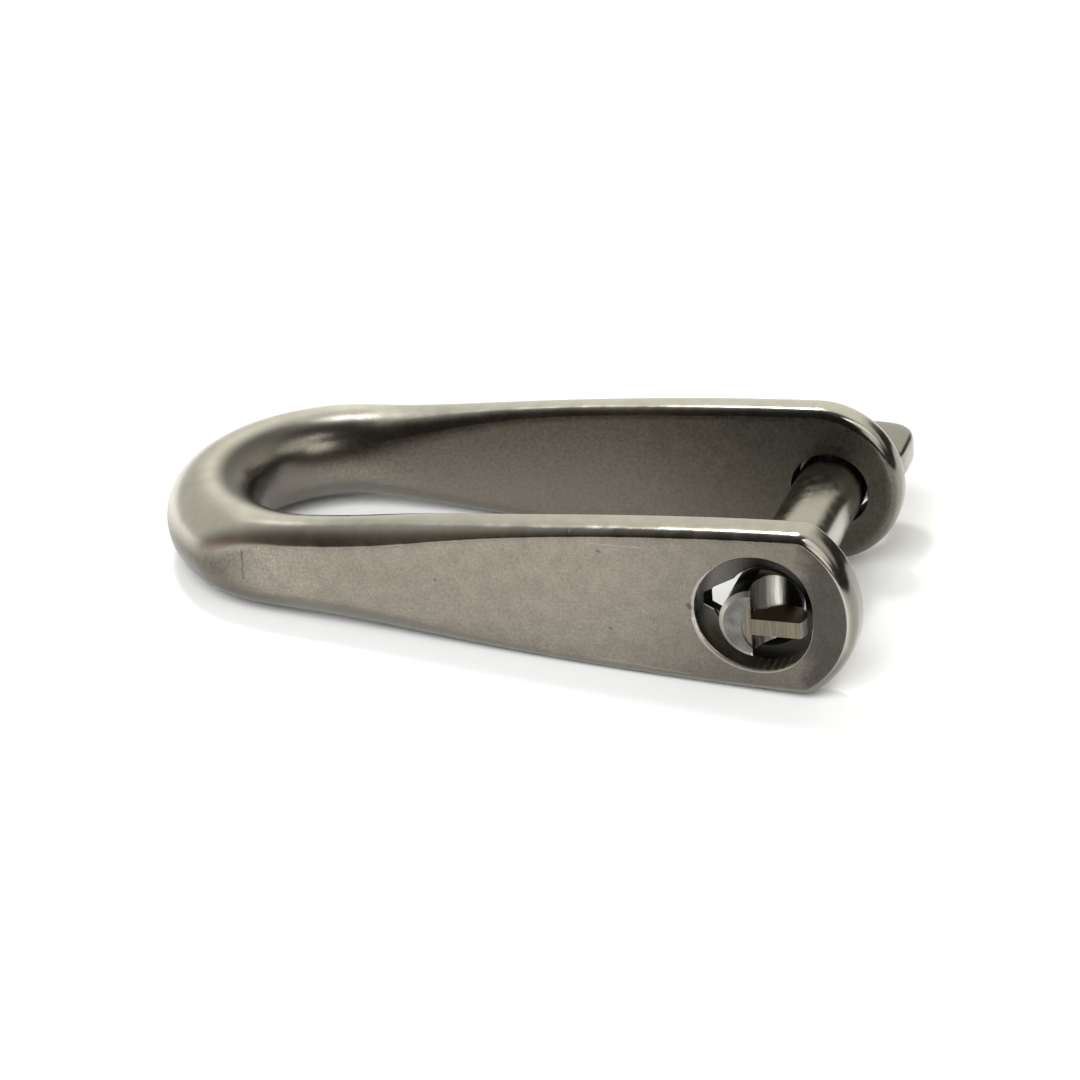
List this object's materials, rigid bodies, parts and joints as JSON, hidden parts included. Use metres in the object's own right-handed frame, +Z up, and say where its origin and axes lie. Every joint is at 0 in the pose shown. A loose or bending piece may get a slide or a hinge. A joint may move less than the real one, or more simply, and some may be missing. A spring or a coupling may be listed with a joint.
{
  "type": "shackle",
  "caption": "Long stainless D shackle lying on its side: round bow, flat tapering arms, two ears and a captive pin with a flat thumb paddle and a side key that turns in a recess.",
  "frame": {"origin": "centre of the outer box's underside, on the ground the shackle lies on", "axes": "+X from the bow to the ears, along the length and level with the ground; +Y along the pin, from the keyed end to the thumb paddle; +Z up"},
  "size_m": [0.0536, 0.0306, 0.0126],
  "materials": {
    "shackle_body": "drop-forged stainless steel, tumbled satin faces with polished edges",
    "key_pin": "turned and milled stainless steel"
  },
  "bodies": {
    "shackle": {"shackle_body": "shackle_body"},
    "pin": {"key_pin": "key_pin"}
  },
  "joints": [
    {"name": "pin_turn", "type": "hinge", "parent": "shackle", "child": "pin", "pos_m": [0.02006, -0.00299, 0.0061], "axis": [0, 1, 0], "continuous": true}
  ]
}
